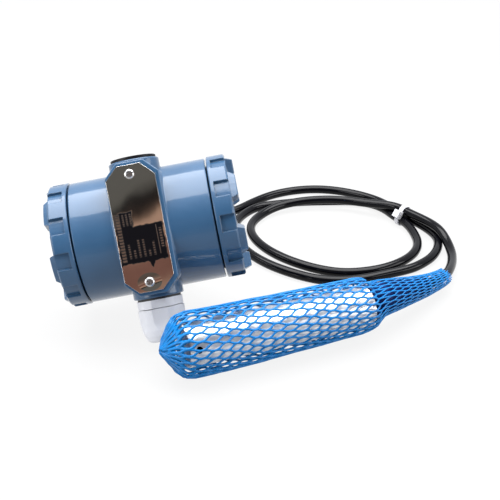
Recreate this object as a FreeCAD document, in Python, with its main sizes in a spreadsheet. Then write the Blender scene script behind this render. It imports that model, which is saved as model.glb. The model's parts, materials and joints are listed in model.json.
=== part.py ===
import FreeCAD, Part
import math
import os
import Sketcher

# Submersible liquid level sensor, lying on a table.
# World frame: X to the right along the longest side, Y away from the viewer, Z up, table at Z = 0.
# Housing frame: x along the barrel towards the right cover, y towards the plugged conduit entry,
# z out of the nameplate. Turned pieces are revolved about their own X axis.

V = FreeCAD.Vector
doc = FreeCAD.newDocument("level_sensor")

# ---------------------------------------------------------------- driving dimensions
DIMS = [
    # placing on the table
    ("shift_right", -5.748), ("shift_away", -626.660),
    ("house_right", -67.87), ("house_away", 616.91), ("house_up", 64.69),
    ("lean_deg", 26.0), ("roll_deg", 10.8),
    ("nose_right", -41.9), ("nose_away", 539.25), ("nose_up", 21.8),
    ("tail_right", 84.6), ("tail_away", 598.0), ("tail_up", 18.95),
    # barrel
    ("barrel_rad", 40.1), ("left_len", 44.4), ("right_len", 45.75), ("mouth_rad", 35.0), ("mouth_deep", 2.25),
    ("thread_rad", 33.0), ("thread_deep", 15.75), ("room_rad", 31.5),
    ("wall_near", 10.0), ("wall_far", 14.0), ("edge_break", 0.6),
    # plate pad, conduit collars, neck
    ("pad_half", 17.2), ("pad_front", 41.0), ("pad_top", 43.4), ("pad_low", 41.6), ("pad_cut", 8.6), ("pad_back", 16.0),
    ("entry_front", 11.0), ("collar_rad", 16.6), ("collar_top", 46.0), ("collar_low", 44.2), ("entry_bore", 9.2),
    ("neck_rad", 19.0), ("neck_start", 33.0), ("neck_end", 61.36), ("neck_bore", 12.25), ("neck_bore_in", 28.0),
    ("tap_rad", 1.25), ("tap_deep", 7.0), ("fix_tap_rad", 1.3),
    # nameplate
    ("plate_wide", 31.3), ("plate_tall", 80.6), ("plate_cut", 8.2), ("plate_thick", 1.0), ("plate_side", -1.0), ("plate_up", 0.9),
    ("plate_hole", 1.9), ("plate_screw_y", 34.3),
    ("pan_rad", 3.1), ("pan_high", 2.3), ("shank_rad", 1.2), ("shank_long", 5.5),
    # covers
    ("seam_gap", 0.9), ("cover_rad", 40.8), ("cover_plain", 3.6), ("cover_face_rad", 31.0),
    ("left_rim", 13.4), ("left_face", 13.7), ("left_lug", 16.8), ("left_inner", 11.2),
    ("right_rim", 13.2), ("right_face", 13.5), ("right_lug", 17.9), ("right_inner", 11.0), ("skirt_rad", 32.92), ("skirt_in", 29.5), ("skirt_long", 13.0), ("groove_rad", 31.6),
    ("pocket_count", 11), ("pocket_half_deg", 7.7), ("pocket_floor", 38.9),
    ("lug_count", 6), ("lug_half_deg", 16.0), ("lug_in", 25.0), ("lug_out", 38.4), ("lug_draft_deg", 22.0),
    ("oring_mid", 33.3), ("oring_sec", 1.35), ("oring_at", 0.65),
    ("left_clock_deg", 0.4), ("right_clock_deg", 9.0), ("left_lug_turn", 24.4), ("right_lug_turn", 38.5),
    # conduit plug
    ("plug_rad", 14.9), ("plug_flange", 1.3), ("plug_gap", 0.05), ("plug_gasket_thick", 0.7), ("plug_gasket_rad", 14.4),
    ("plug_shank", 9.1), ("plug_long", 10.5), ("plug_hex", 10.0), ("plug_hex_deep", 6.0),
    # cable glands
    ("gland_thread", 9.1), ("gland_thread_long", 10.0), ("gask_rad", 14.3), ("gask_in", 9.6), ("gask_thick", 1.4),
    ("gland_hex", 28.6), ("gland_round", 15.0), ("gland_flange", 5.4), ("gland_tube", 10.4), ("gland_tube_in", 9.0),
    ("gland_tube_end", 19.5), ("gland_bore", 6.0), ("seal_rad", 8.85), ("seal_bore", 6.2), ("seal_from", 8.6), ("seal_to", 21.1),
    ("nut_from", 7.2), ("nut_end", 29.0), ("nut_rad", 15.3), ("nut_mid", 14.6), ("nut_tip", 11.6), ("nut_in", 10.5), ("nut_hole", 6.6),
    ("nut_step", 21.4), ("nut_flats", 28.8),
    ("outlet_bore", 3.9), ("outlet_seal_bore", 3.68), ("outlet_hole", 4.1),
    # rear outlet neck
    ("neckring_thick", 1.2), ("neckring_in", 13.2), ("neckring_out", 16.6),
    ("out_shank", 12.15), ("out_shank_long", 15.0), ("out_hex", 32.0), ("out_round", 17.6), ("out_hex_end", 9.2),
    ("out_tube", 13.5), ("out_end", 33.5), ("out_bore", 5.2), ("out_socket", 9.2), ("out_socket_deep", 12.0),
    # terminal room
    ("block_rad", 21.0), ("block_thick", 11.0), ("block_slot", 6.4), ("block_slot_deep", 4.0), ("block_wide", 26.0),
    ("term_pitch", 8.6), ("term_head", 2.9), ("term_head_high", 1.8), ("term_shank", 1.4), ("term_long", 4.5),
    ("block_fix_at", 17.4), ("earth_at", 26.0),
    # electronics room
    ("board_rad", 26.5), ("board_thick", 1.6), ("board_at", 20.0), ("post_rad", 2.8), ("post_at", 23.0),
    ("case_rad", 18.5), ("case_end", 30.5), ("bush_rad", 3.6), ("bush_flange", 5.6), ("bush_at", 13.5),
    # probe
    ("probe_rad", 14.0), ("tube_in", 12.1), ("cap_long", 12.0), ("cap_skirt", 12.04), ("cap_skirt_end", 21.0),
    ("cap_room", 10.0), ("cap_wall", 3.0), ("nose_round", 1.6), ("port_rad", 2.3), ("port_at", 6.2), ("port_turn_deg", 14.0), ("vent_rad", 0.8),
    ("capsule_rad", 9.5), ("capsule_from", 22.0), ("capsule_to", 34.0), ("capsule_lip", 11.2),
    ("retainer_to", 41.0), ("probe_len", 132.2), ("tube_end", 125.5), ("plug_in_from", 116.5), ("plug_in_rad", 12.04),
    ("stem_rad", 7.2), ("stem_end", 138.6), ("stem_bore", 4.2), ("seal_room", 5.8),
    ("comp_from", 132.8), ("comp_rad", 9.6), ("comp_end", 143.0), ("comp_end_rad", 7.6), ("comp_in", 7.35), ("comp_hole", 4.2),
    ("boot_from", 143.3), ("boot_to", 148.5), ("boot_big", 6.4), ("boot_small", 4.9), ("boot_hole", 3.68),
    ("pcb_wide", 17.0), ("pcb_thick", 1.6), ("pcb_from", 52.0), ("pcb_long", 52.0),
    # net sleeve
    ("net_skin", 1.0),
    # cable
    ("cable_rad", 3.6), ("coil_right", 67.0), ("coil_away", 745.0), ("coil_high", 13.0), ("coil_margin", 4.4), ("route_scale", 0.9935),
    ("tie_wide", 4.6), ("tie_thick", 1.2),
]

sheet = doc.addObject("Spreadsheet::Sheet", "dims")
for row, (alias, value) in enumerate(DIMS, start=1):
    sheet.set("A%d" % row, alias.replace("_", " "))
    sheet.set("B%d" % row, repr(value))
    sheet.setAlias("B%d" % row, alias)
doc.recompute()


class Q:
    """A length that carries both its number and its sheet expression."""

    def __init__(self, val, expr):
        self.val = float(val)
        self.expr = expr

    @staticmethod
    def of(other):
        return other if isinstance(other, Q) else Q(other, repr(float(other)))

    def __add__(self, other):
        o = Q.of(other)
        return Q(self.val + o.val, "(%s + %s)" % (self.expr, o.expr))

    def __radd__(self, other):
        return Q.of(other) + self

    def __sub__(self, other):
        o = Q.of(other)
        return Q(self.val - o.val, "(%s - %s)" % (self.expr, o.expr))

    def __rsub__(self, other):
        return Q.of(other) - self

    def __mul__(self, other):
        o = Q.of(other)
        return Q(self.val * o.val, "(%s * %s)" % (self.expr, o.expr))

    __rmul__ = __mul__

    def __truediv__(self, other):
        o = Q.of(other)
        return Q(self.val / o.val, "(%s / %s)" % (self.expr, o.expr))

    def __neg__(self):
        return Q(-self.val, "(-1 * %s)" % self.expr)


class Sheet:
    def __getattr__(self, name):
        return Q(sheet.get(name), "dims." + name)


d = Sheet()


def n(q):
    return Q.of(q).val


def qsin(deg):
    q = Q.of(deg)
    return Q(math.sin(math.radians(q.val)), "sin(%s * 1 deg)" % q.expr)


def qcos(deg):
    q = Q.of(deg)
    return Q(math.cos(math.radians(q.val)), "cos(%s * 1 deg)" % q.expr)


# ---------------------------------------------------------------- placements
def frame_matrix(x, y, z, origin):
    m = FreeCAD.Matrix(x.x, y.x, z.x, origin.x, x.y, y.y, z.y, origin.y, x.z, y.z, z.z, origin.z, 0, 0, 0, 1)
    return FreeCAD.Placement(m)


lean = math.radians(n(d.lean_deg))
roll = math.radians(n(d.roll_deg))
R_right = V(1, 0, 0)
R_up = V(0, math.sin(lean), math.cos(lean))
HX = R_right * math.cos(roll) + R_up * math.sin(roll)
HY = R_right * -math.sin(roll) + R_up * math.cos(roll)
HZ = V(0, -math.cos(lean), math.sin(lean))
SHIFT = V(n(d.shift_right), n(d.shift_away), 0)
HO = V(n(d.house_right), n(d.house_away), n(d.house_up)) + SHIFT
HOUSE = frame_matrix(HX, HY, HZ, HO)


def in_house(x, y, z):
    return HO + HX * x + HY * y + HZ * z


# left cover: its own X points out of the left end
LEFT_END = frame_matrix(HX * -1, HY, HZ * -1, in_house(-n(d.left_len), 0, 0))
RIGHT_END = frame_matrix(HX, HY, HZ, in_house(n(d.right_len), 0, 0))
# conduit entries: X out of the collar
TOP_ENTRY = frame_matrix(HY, HX * -1, HZ, in_house(0, n(d.collar_top), n(d.entry_front)))
LOW_ENTRY = frame_matrix(HY * -1, HX, HZ, in_house(0, -n(d.collar_low), n(d.entry_front)))
# rear neck: X out of the neck, away from the plate
REAR = frame_matrix(HZ * -1, HY, HX, in_house(0, 0, -n(d.neck_end)))
OUTLET = frame_matrix(HZ * -1, HY, HX, in_house(0, 0, -n(d.neck_end) - n(d.out_end)))
# probe: X from the nose to the rear
P_NOSE = V(n(d.nose_right), n(d.nose_away), n(d.nose_up)) + SHIFT
P_TAIL = V(n(d.tail_right), n(d.tail_away), n(d.tail_up)) + SHIFT
PX = (P_TAIL - P_NOSE).normalize()
PY = V(0, 0, 1).cross(PX).normalize()
PZ = PX.cross(PY)
PROBE = frame_matrix(PX, PY, PZ, P_NOSE)


def on_probe(x, y=0.0, z=0.0):
    return P_NOSE + PX * x + PY * y + PZ * z


# ---------------------------------------------------------------- helpers
parts = []          # (label, object)


def new_body(label, placement):
    body = doc.addObject("PartDesign::Body", label)
    body.Label = label
    body.Placement = placement
    parts.append((label, body))
    return body


def plane(body, role):
    for o in body.Origin.OriginFeatures:
        if o.Role == role:
            return o
    raise ValueError(role)


def sketch_poly(body, role, pts, offset=None, name="profile"):
    """Closed polygon sketch; every corner is dimensioned from the origin by the sheet."""
    sk = body.newObject("Sketcher::SketchObject", body.Label + "_" + name)
    sk.AttachmentSupport = [(plane(body, role), "")]
    sk.MapMode = "FlatFace"
    if offset is not None:
        sk.AttachmentOffset = FreeCAD.Placement(V(0, 0, n(offset)), FreeCAD.Rotation())
        sk.setExpression("AttachmentOffset.Base.z", Q.of(offset).expr)
    add_loop(sk, pts)
    return sk


def add_loop(sk, pts):
    first = sk.GeometryCount
    k = len(pts)
    num = [V(n(x), n(y), 0) for x, y in pts]
    sk.addGeometry([Part.LineSegment(num[i], num[(i + 1) % k]) for i in range(k)], False)
    for i in range(k):
        sk.addConstraint(Sketcher.Constraint("Coincident", first + i, 2, first + (i + 1) % k, 1))
    for i, (x, y) in enumerate(pts):
        for kind, q in (("DistanceX", Q.of(x)), ("DistanceY", Q.of(y))):
            if abs(q.val) < 1e-9:
                sk.addConstraint(Sketcher.Constraint("PointOnObject", first + i, 1, -2 if kind == "DistanceX" else -1))
            else:
                c = sk.addConstraint(Sketcher.Constraint(kind, -1, 1, first + i, 1, q.val))
                sk.setExpression("Constraints[%d]" % c, q.expr)


def sketch_circles(body, role, circles, offset=None, name="holes"):
    sk = body.newObject("Sketcher::SketchObject", body.Label + "_" + name)
    sk.AttachmentSupport = [(plane(body, role), "")]
    sk.MapMode = "FlatFace"
    if offset is not None:
        sk.AttachmentOffset = FreeCAD.Placement(V(0, 0, n(offset)), FreeCAD.Rotation())
        sk.setExpression("AttachmentOffset.Base.z", Q.of(offset).expr)
    for x, y, r in circles:
        g = sk.addGeometry(Part.Circle(V(n(x), n(y), 0), V(0, 0, 1), n(r)), False)
        for kind, q in (("DistanceX", Q.of(x)), ("DistanceY", Q.of(y))):
            if abs(q.val) < 1e-9:
                sk.addConstraint(Sketcher.Constraint("PointOnObject", g, 3, -2 if kind == "DistanceX" else -1))
            else:
                c = sk.addConstraint(Sketcher.Constraint(kind, -1, 1, g, 3, q.val))
                sk.setExpression("Constraints[%d]" % c, q.expr)
        c = sk.addConstraint(Sketcher.Constraint("Radius", g, n(r)))
        sk.setExpression("Constraints[%d]" % c, Q.of(r).expr)
    return sk


def revolve(label, placement, pts):
    """Turned piece: the (x, radius) profile goes once round the piece's own X axis."""
    body = new_body(label, placement)
    sk = sketch_poly(body, "XY_Plane", pts)
    rv = body.newObject("PartDesign::Revolution", label + "_turned")
    rv.Profile = sk
    rv.ReferenceAxis = (sk, ["H_Axis"])
    rv.Angle = 360.0
    body.Tip = rv
    doc.recompute()
    return body


def pad(body, sk, length, midplane=False, reverse=False, name="pad"):
    p = body.newObject("PartDesign::Pad", body.Label + "_" + name)
    p.Profile = sk
    p.Length = n(length)
    p.setExpression("Length", Q.of(length).expr)
    p.SideType = "Symmetric" if midplane else "One side"
    p.Reversed = reverse
    body.Tip = p
    doc.recompute()
    return p


def pocket(body, sk, length=None, midplane=False, reverse=False, name="pocket"):
    before = body.Shape.Volume
    p = body.newObject("PartDesign::Pocket", body.Label + "_" + name)
    p.Profile = sk
    if length is None:
        p.Type = "ThroughAll"
    else:
        p.Length = n(length)
        p.setExpression("Length", Q.of(length).expr)
    p.SideType = "Symmetric" if midplane else "One side"
    p.Reversed = reverse
    body.Tip = p
    doc.recompute()
    if not body.Shape.Volume < before - 1e-3:
        raise RuntimeError("pocket cuts nothing: " + p.Name)
    return p


def polar(body, feature, count, role="X_Axis", name="round"):
    pp = body.newObject("PartDesign::PolarPattern", body.Label + "_" + name)
    pp.Originals = [feature]
    pp.Axis = (plane(body, role), [""])
    pp.Angle = 360.0
    pp.Occurrences = int(n(count))
    pp.setExpression("Occurrences", Q.of(count).expr)
    body.Tip = pp
    doc.recompute()
    return pp


def sector(r_in, r_out, half_deg, steps=3, turn=0.0):
    """Ring sector about the Y axis of the sketch, turned towards its X axis, as a polygon."""
    pts = []
    for i in range(steps + 1):
        a = half_deg * (2.0 * i / steps - 1.0) + turn
        pts.append((r_out * qsin(a), r_out * qcos(a)))
    for i in range(steps, -1, -1):
        a = half_deg * (2.0 * i / steps - 1.0) + turn
        pts.append((r_in * qsin(a), r_in * qcos(a)))
    return pts


def hexagon(across_flats, turn=0.0):
    r = across_flats / 1.7320508
    pts = []
    for i in range(6):
        a = math.radians(60.0 * i + turn)
        pts.append((r * math.cos(a), r * math.sin(a)))
    return pts


def feature(label, shape, placement=None):
    o = doc.addObject("Part::Feature", label)
    o.Label = label
    o.Shape = shape
    if placement is not None:
        o.Placement = placement
    parts.append((label, o))
    return o


def edges_where(shape, test):
    return ["Edge%d" % (i + 1) for i, e in enumerate(shape.Edges) if test(e)]


def fillet(body, names, radius, name="fillet"):
    """Round the named edges; the step is dropped if the kernel can't close it."""
    base = body.Tip
    before = body.Shape.copy()
    fl = body.newObject("PartDesign::Fillet", body.Label + "_" + name)
    fl.Base = (base, names)
    fl.Radius = radius
    body.Tip = fl
    doc.recompute()
    bad = "Invalid" in fl.State or "Error" in fl.State or fl.Shape.isNull() or not fl.Shape.isValid()
    if bad or abs(fl.Shape.Volume - before.Volume) > 0.2 * before.Volume:
        print("fillet left out on", body.Label, name)
        body.Tip = base
        body.removeObject(fl)
        doc.removeObject(fl.Name)
        body.touch()
        doc.recompute()
        return None
    return fl


# ---------------------------------------------------------------- housing casting
body = revolve("housing_body", HOUSE, [
    (-d.left_len, d.mouth_rad), (-d.left_len, d.barrel_rad - d.edge_break), (-d.left_len + d.edge_break, d.barrel_rad),
    (d.right_len - d.edge_break, d.barrel_rad), (d.right_len, d.barrel_rad - d.edge_break), (d.right_len, d.mouth_rad),
    (d.right_len - d.mouth_deep, d.mouth_rad), (d.right_len - d.mouth_deep, d.thread_rad),
    (d.right_len - d.thread_deep, d.thread_rad), (d.right_len - d.thread_deep, d.room_rad),
    (d.wall_far, d.room_rad), (d.wall_far, 0), (d.wall_near, 0), (d.wall_near, d.room_rad),
    (-d.left_len + d.thread_deep, d.room_rad), (-d.left_len + d.thread_deep, d.thread_rad),
    (-d.left_len + d.mouth_deep, d.thread_rad), (-d.left_len + d.mouth_deep, d.mouth_rad),
])
housing = body
# eight-sided pad for the plate, standing on the barrel
pw, pc = d.pad_half, d.pad_cut
sk = sketch_poly(body, "XY_Plane", [
    (-pw + pc, -d.pad_low), (pw - pc, -d.pad_low), (pw, -d.pad_low + pc), (pw, d.pad_top - pc),
    (pw - pc, d.pad_top), (-pw + pc, d.pad_top), (-pw, d.pad_top - pc), (-pw, -d.pad_low + pc)], offset=d.pad_back, name="column")
pad(body, sk, d.pad_front - d.pad_back, name="column_pad")
# conduit collars above and below
sk = sketch_circles(body, "XZ_Plane", [(0, d.entry_front, d.collar_rad)], offset=d.collar_low, name="collar")
pad(body, sk, d.collar_low + d.collar_top, reverse=True, name="collar_pad")
# rear neck
sk = sketch_circles(body, "XY_Plane", [(0, 0, d.neck_rad)], offset=-d.neck_start, name="neck")
pad(body, sk, d.neck_end - d.neck_start, reverse=True, name="neck_pad")
# cast fillets where the pad, collars and neck stand on the barrel
inv = HOUSE.inverse()


def near(a, b, tol=0.05):
    return abs(a - b) < tol


def local_box(e, back):
    c = e.copy()
    c.Placement = back.multiply(c.Placement)
    return c.BoundBox


def on_barrel(e):
    """True for an edge lying on the barrel's outer surface away from its ends."""
    if e.Degenerated or e.Length < 0.05:
        return False
    for q in e.discretize(5):
        q = inv.multVec(q)
        if abs(math.hypot(q.y, q.z) - n(d.barrel_rad)) > 0.02 or abs(q.x) > 25.0:
            return False
    return True


names = []
for i, e in enumerate(housing.Shape.Edges):
    bb = local_box(e, inv)
    if near(bb.ZMin, n(d.pad_front)) and near(bb.ZMax, n(d.pad_front)):
        names.append("Edge%d" % (i + 1))
fillet(housing, names, 0.8, "pad_rounds")
upright = []
for i, e in enumerate(housing.Shape.Edges):
    if e.Degenerated:
        continue
    bb = local_box(e, inv)
    if e.Curve.TypeId == "Part::GeomLine" and bb.ZLength > 6.0 and bb.XLength < 0.05 and bb.YLength < 0.05:
        upright.append("Edge%d" % (i + 1))
fillet(housing, upright, 1.5, "pad_corners")
fillet(housing, edges_where(housing.Shape, on_barrel), 1.2, "cast_fillets")
# hollow both rooms again where the pad and collars crossed them
for nm, a, b in (("left_room", -d.left_len, d.wall_near), ("right_room", d.wall_far, d.right_len)):
    sk = sketch_circles(body, "YZ_Plane", [(0, 0, d.room_rad)], offset=a, name=nm)
    pocket(body, sk, b - a, reverse=True, name=nm + "_bore")
sk = sketch_circles(body, "XZ_Plane", [(0, d.entry_front, d.entry_bore)], name="entries")
pocket(body, sk, d.collar_top * 2.0 + 2.0, midplane=True, name="entry_bores")
sk = sketch_circles(body, "XY_Plane", [(0, 0, d.neck_bore)], offset=-d.neck_end, name="neck_hole")
pocket(body, sk, d.neck_end - d.neck_bore_in, reverse=True, name="neck_bore_cut")
sk = sketch_circles(body, "XY_Plane", [(d.plate_side, d.plate_up + d.plate_screw_y, d.tap_rad), (d.plate_side, d.plate_up - d.plate_screw_y, d.tap_rad)],
                    offset=d.pad_front, name="plate_taps")
pocket(body, sk, d.tap_deep, name="plate_tap_holes")
sk = sketch_circles(body, "YZ_Plane", [(d.block_fix_at, 0, d.fix_tap_rad), (-d.block_fix_at, 0, d.fix_tap_rad), (0, -d.earth_at, d.fix_tap_rad)],
                    offset=d.wall_near, name="room_taps")
pocket(body, sk, d.wall_far - d.wall_near, reverse=True, name="room_tap_holes")
post_r = d.post_at
sk = sketch_circles(body, "YZ_Plane", [(post_r * qcos(90.0 + 120.0 * i), post_r * qsin(90.0 + 120.0 * i), d.fix_tap_rad) for i in range(3)]
                    + [(0, d.bush_at, d.bush_rad + 0.05)], offset=d.wall_near, name="wall_holes")
pocket(body, sk, d.wall_far - d.wall_near, reverse=True, name="wall_hole_cut")


names = []
for i, e in enumerate(housing.Shape.Edges):
    if e.Degenerated:
        continue
    bb = local_box(e, inv)
    straight = e.Curve.TypeId == "Part::GeomLine"
    if (not straight) and near(bb.ZMin, -n(d.neck_end)) and near(bb.ZMax, -n(d.neck_end)) and bb.XLength > 30:
        names.append("Edge%d" % (i + 1))
    if (not straight) and near(bb.YMin, bb.YMax) and (near(bb.YMin, n(d.collar_top)) or near(bb.YMin, -n(d.collar_low))) and bb.XLength > 30:
        names.append("Edge%d" % (i + 1))
fillet(housing, names, 1.0, "edge_rounds")

# ---------------------------------------------------------------- screw covers
for side, place, clock, rim, flat, lug_top, inner, lug_turn in (
        ("left", LEFT_END, d.left_clock_deg, d.left_rim, d.left_face, d.left_lug, d.left_inner, d.left_lug_turn),
        ("right", RIGHT_END, d.right_clock_deg, d.right_rim, d.right_face, d.right_lug, d.right_inner, d.right_lug_turn)):
    turn = FreeCAD.Placement(V(0, 0, 0), FreeCAD.Rotation(V(1, 0, 0), n(clock)))
    cov = revolve(side + "_cover", place.multiply(turn), [
        (d.seam_gap, d.groove_rad), (d.seam_gap, d.cover_rad - 0.6), (d.seam_gap + 0.6, d.cover_rad),
        (rim - 1.0, d.cover_rad), (rim, d.cover_rad - 1.0),
        (flat - 0.7, d.cover_face_rad + 1.6), (flat, d.cover_face_rad), (flat, 0), (inner, 0),
        (inner, d.skirt_in - 3.0), (inner - 3.0, d.skirt_in), (-d.skirt_long, d.skirt_in),
        (-d.skirt_long, d.skirt_rad - 0.5), (-d.skirt_long + 0.5, d.skirt_rad), (-d.mouth_deep, d.skirt_rad), (-d.mouth_deep, d.groove_rad),
    ])
    sk = sketch_poly(cov, "YZ_Plane", sector(d.pocket_floor, d.cover_rad + 3.0, d.pocket_half_deg, 4), offset=d.cover_plain, name="rim_pocket")
    f = pocket(cov, sk, rim, reverse=True, name="rim_pocket_cut")
    polar(cov, f, d.pocket_count, name="rim_pockets")
    sk = sketch_poly(cov, "YZ_Plane", sector(d.lug_in, d.lug_out, d.lug_half_deg, 4, lug_turn), offset=rim - 1.0, name="lug")
    f = pad(cov, sk, lug_top - rim + 1.0, name="lug_pad")
    f.setExpression("TaperAngle", "-dims.lug_draft_deg")
    doc.recompute()
    polar(cov, f, d.lug_count, name="lugs")
    # rounded rims of the lugs
    pinv = cov.Placement.inverse()
    nm = []
    for i, e in enumerate(cov.Shape.Edges):
        bb = local_box(e, pinv)
        if near(bb.XMin, n(lug_top)) and near(bb.XMax, n(lug_top)):
            nm.append("Edge%d" % (i + 1))
    if nm:
        fillet(cov, nm, 0.9, "lug_rounds")
    ring = doc.addObject("Part::Torus", side + "_cover_oring")
    ring.Label = side + "_cover_oring"
    ring.setExpression("Radius1", "dims.oring_mid")
    ring.setExpression("Radius2", "dims.oring_sec")
    ring.Placement = place.multiply(FreeCAD.Placement(V(-n(d.oring_at), 0, 0), FreeCAD.Rotation(V(0, 1, 0), 90)))
    parts.append((side + "_cover_oring", ring))

# ---------------------------------------------------------------- nameplate and its screws
pl = new_body("nameplate", HOUSE)
hw, ht, c = d.plate_wide / 2.0, d.plate_tall / 2.0, d.plate_cut
px, pu = d.plate_side, d.plate_up
sk = sketch_poly(pl, "XY_Plane", [
    (px - hw + c, pu - ht), (px + hw - c, pu - ht), (px + hw, pu - ht + c), (px + hw, pu + ht - c),
    (px + hw - c, pu + ht), (px - hw + c, pu + ht), (px - hw, pu + ht - c), (px - hw, pu - ht + c)], offset=d.pad_front, name="outline")
pad(pl, sk, d.plate_thick, name="sheet")
sk = sketch_circles(pl, "XY_Plane", [(px, pu + d.plate_screw_y, d.plate_hole), (px, pu - d.plate_screw_y, d.plate_hole)],
                    offset=d.pad_front + d.plate_thick, name="screw_holes")
pocket(pl, sk, d.plate_thick, name="screw_hole_cut")


def pan_screw(head_r, head_h, shank_r, shank_l, slot_w, slot_d, cross=True):
    """Domed screw standing on Z = 0, shank down, with a cross or plain slot."""
    rim, flat = head_h * 0.3, head_h * 0.92
    prof = [V(0, 0, -shank_l), V(shank_r, 0, -shank_l), V(shank_r, 0, 0), V(head_r, 0, 0), V(head_r, 0, rim)]
    wire = [Part.LineSegment(prof[i], prof[i + 1]).toShape() for i in range(4)]
    top = V(0, 0, head_h)
    edge = V(head_r * 0.72, 0, flat)
    wire.append(Part.Arc(prof[4], V(head_r * 0.915, 0, rim + (flat - rim) * 0.66), edge).toShape())
    wire.append(Part.Arc(edge, V(head_r * 0.36, 0, head_h - (head_h - flat) * 0.25), top).toShape())
    wire.append(Part.LineSegment(top, prof[0]).toShape())
    s = Part.Face(Part.Wire(wire)).revolve(V(0, 0, 0), V(0, 0, 1), 360)
    s = Part.Solid(s) if s.ShapeType != "Solid" else s
    bars = [Part.makeBox(head_r * (1.25 if cross else 3.0), slot_w, slot_d + 1.0, V(-head_r * (0.625 if cross else 1.5), -slot_w / 2, head_h - slot_d))]
    if cross:
        bars.append(Part.makeBox(slot_w, head_r * 1.25, slot_d + 1.0, V(-slot_w / 2, -head_r * 0.625, head_h - slot_d)))
    for b in bars:
        s = s.cut(b)
    return s.Solids[0]


def group(label, solid, places, placement):
    out = []
    for p in places:
        s = solid.copy()
        s.Placement = p
        out.append(s)
    return feature(label, Part.makeCompound(out), placement)


sc = pan_screw(n(d.pan_rad), n(d.pan_high), n(d.shank_rad), n(d.shank_long), 0.9, 1.1)
z0 = n(d.pad_front) + n(d.plate_thick)
group("nameplate_screws", sc, [FreeCAD.Placement(V(n(px), n(pu + d.plate_screw_y), z0), FreeCAD.Rotation(V(0, 0, 1), 25)),
                               FreeCAD.Placement(V(n(px), n(pu - d.plate_screw_y), z0), FreeCAD.Rotation(V(0, 0, 1), 60))], HOUSE)

# ---------------------------------------------------------------- plugged conduit entry
g0 = d.plug_gap
g1 = d.plug_gap + d.plug_gasket_thick
revolve("plug_gasket", TOP_ENTRY, [(g0, d.plug_shank + 0.3), (g0, d.plug_gasket_rad), (g1, d.plug_gasket_rad), (g1, d.plug_shank + 0.3)])
g2 = g1 + 0.05
plug = revolve("conduit_plug", TOP_ENTRY, [
    (-d.plug_long, 0), (-d.plug_long, d.plug_shank - 0.8), (-d.plug_long + 0.8, d.plug_shank), (g2, d.plug_shank),
    (g2, d.plug_rad), (g2 + d.plug_flange - 0.3, d.plug_rad), (g2 + d.plug_flange, d.plug_rad - 0.5), (g2 + d.plug_flange, 0)])
sk = sketch_poly(plug, "YZ_Plane", hexagon(d.plug_hex), offset=g2 + d.plug_flange, name="key")
pocket(plug, sk, d.plug_hex_deep, name="key_socket")


# ---------------------------------------------------------------- cable glands
def gland(prefix, place, bore, seal_bore, hole, names):
    gasket, gbody, seal, nut = names
    revolve(gasket, place, [(0, d.gask_in), (0, d.gask_rad), (d.gask_thick, d.gask_rad), (d.gask_thick, d.gask_in)])
    fl = d.gask_thick + d.gland_flange
    b = revolve(gbody, place, [
        (-d.gland_thread_long, bore), (-d.gland_thread_long, d.gland_thread - 0.7), (-d.gland_thread_long + 0.7, d.gland_thread),
        (d.gask_thick, d.gland_thread), (d.gask_thick, d.gland_round), (fl, d.gland_round), (fl, d.gland_tube),
        (d.gland_tube_end, d.gland_tube), (d.gland_tube_end, d.gland_tube_in), (fl + 1.4, d.gland_tube_in), (fl + 1.4, bore)])
    flats = d.gland_hex
    sk = b.newObject("Sketcher::SketchObject", gbody + "_flats")
    sk.AttachmentSupport = [(plane(b, "YZ_Plane"), "")]
    sk.MapMode = "FlatFace"
    sk.AttachmentOffset = FreeCAD.Placement(V(0, 0, n(d.gask_thick)), FreeCAD.Rotation())
    sk.setExpression("AttachmentOffset.Base.z", d.gask_thick.expr)
    add_loop(sk, hexagon(flats))
    g = sk.addGeometry(Part.Circle(V(0, 0, 0), V(0, 0, 1), n(d.gland_round) + 4.0), False)
    sk.addConstraint(Sketcher.Constraint("Coincident", g, 3, -1, 1))
    ci = sk.addConstraint(Sketcher.Constraint("Radius", g, n(d.gland_round) + 4.0))
    sk.setExpression("Constraints[%d]" % ci, (d.gland_round + 4.0).expr)
    pocket(b, sk, d.gland_flange, reverse=True, name="hex_flats")
    revolve(seal, place, [(d.seal_from, seal_bore), (d.seal_from, d.seal_rad), (d.seal_to - 1.6, d.seal_rad), (d.seal_to, d.seal_rad - 1.6), (d.seal_to, seal_bore)])
    m = revolve(nut, place, [
        (d.nut_from, d.nut_in), (d.nut_from, d.nut_rad - 0.5), (d.nut_from + 0.5, d.nut_rad), (d.nut_from + 9.0, d.nut_rad - 0.1),
        (d.nut_from + 14.0, d.nut_mid), (d.nut_end - 4.2, d.nut_tip + 2.0), (d.nut_end - 1.4, d.nut_tip + 0.6), (d.nut_end, d.nut_tip - 1.2),
        (d.nut_end, hole), (d.nut_step, hole), (d.nut_step, d.nut_in)])
    sk = m.newObject("Sketcher::SketchObject", nut + "_flats")
    sk.AttachmentSupport = [(plane(m, "YZ_Plane"), "")]
    sk.MapMode = "FlatFace"
    sk.AttachmentOffset = FreeCAD.Placement(V(0, 0, n(d.nut_from)), FreeCAD.Rotation())
    sk.setExpression("AttachmentOffset.Base.z", d.nut_from.expr)
    add_loop(sk, hexagon(d.nut_flats))
    g = sk.addGeometry(Part.Circle(V(0, 0, 0), V(0, 0, 1), n(d.nut_rad) + 4.0), False)
    sk.addConstraint(Sketcher.Constraint("Coincident", g, 3, -1, 1))
    ci = sk.addConstraint(Sketcher.Constraint("Radius", g, n(d.nut_rad) + 4.0))
    sk.setExpression("Constraints[%d]" % ci, (d.nut_rad + 4.0).expr)
    pocket(m, sk, d.nut_end - d.nut_from, reverse=True, name="nut_flats_cut")


gland("front", LOW_ENTRY, d.gland_bore, d.seal_bore, d.nut_hole, ("gland_gasket", "gland_body", "gland_seal", "gland_nut"))

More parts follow.
